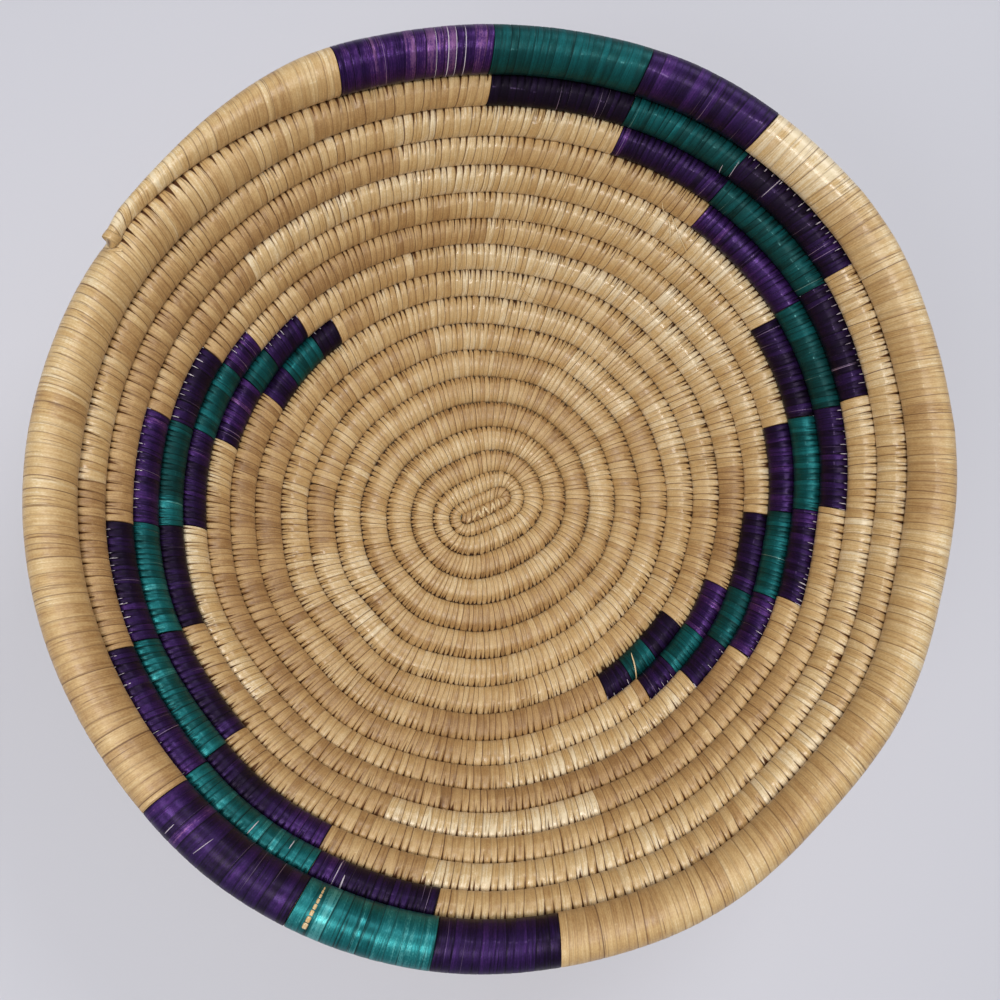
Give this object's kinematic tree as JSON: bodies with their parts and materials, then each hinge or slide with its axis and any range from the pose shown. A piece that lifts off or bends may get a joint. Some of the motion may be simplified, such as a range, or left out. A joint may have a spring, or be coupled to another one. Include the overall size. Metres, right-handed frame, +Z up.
{
  "type": "coiled basket bowl",
  "caption": "Round open bowl coiled from one wrapped grass bundle, flat in the middle, with a thicker rim and a stepped pattern in purple and green raffia.",
  "frame": {"origin": "on the surface that the bowl stands on, under the middle of the bowl's outer box", "axes": "+Z up, out of the bowl's mouth; +X to the right and +Y to the top of the picture"},
  "size_m": [0.292, 0.297, 0.0965],
  "materials": {
    "grass": "dry grass stems, matt, hidden inside the wraps",
    "natural_raffia": "undyed raffia, smooth strips with a soft sheen",
    "purple_raffia": "raffia dyed dark purple, soft sheen",
    "green_raffia": "raffia dyed blue-green, soft sheen"
  },
  "bodies": {
    "root": {"start_tip": "natural_raffia", "grass_core": "grass", "natural_wrap_01": "natural_raffia", "natural_wrap_02": "natural_raffia", "natural_wrap_03": "natural_raffia", "natural_wrap_04": "natural_raffia", "natural_wrap_05": "natural_raffia", "natural_wrap_06": "natural_raffia", "natural_wrap_07": "natural_raffia", "natural_wrap_08": "natural_raffia", "natural_wrap_09": "natural_raffia", "natural_wrap_10": "natural_raffia", "natural_wrap_11": "natural_raffia", "natural_wrap_12": "natural_raffia", "natural_wrap_13": "natural_raffia", "natural_wrap_14": "natural_raffia", "natural_wrap_15": "natural_raffia", "natural_wrap_16": "natural_raffia", "natural_wrap_17": "natural_raffia", "natural_wrap_18": "natural_raffia", "natural_wrap_19": "natural_raffia", "natural_wrap_20": "natural_raffia", "natural_wrap_21": "natural_raffia", "natural_wrap_22": "natural_raffia", "tail_wrap": "natural_raffia", "purple_wrap_01": "purple_raffia", "green_wrap_01": "green_raffia", "purple_wrap_02": "purple_raffia", "green_wrap_02": "green_raffia", "purple_wrap_03": "purple_raffia", "green_wrap_03": "green_raffia", "purple_wrap_04": "purple_raffia", "green_wrap_04": "green_raffia", "purple_wrap_05": "purple_raffia", "green_wrap_05": "green_raffia", "purple_wrap_06": "purple_raffia", "green_wrap_06": "green_raffia", "purple_wrap_07": "purple_raffia", "green_wrap_07": "green_raffia", "purple_wrap_08": "purple_raffia", "green_wrap_08": "green_raffia", "purple_wrap_09": "purple_raffia", "green_wrap_09": "green_raffia", "purple_wrap_10": "purple_raffia", "green_wrap_10": "green_raffia", "purple_wrap_11": "purple_raffia", "green_wrap_11": "green_raffia", "purple_wrap_12": "purple_raffia", "green_wrap_12": "green_raffia", "purple_wrap_13": "purple_raffia", "green_wrap_13": "green_raffia", "purple_wrap_14": "purple_raffia", "green_wrap_14": "green_raffia", "purple_wrap_15": "purple_raffia", "green_wrap_15": "green_raffia", "purple_wrap_16": "purple_raffia", "green_wrap_16": "green_raffia", "purple_wrap_17": "purple_raffia", "green_wrap_17": "green_raffia"}
  },
  "joints": []
}
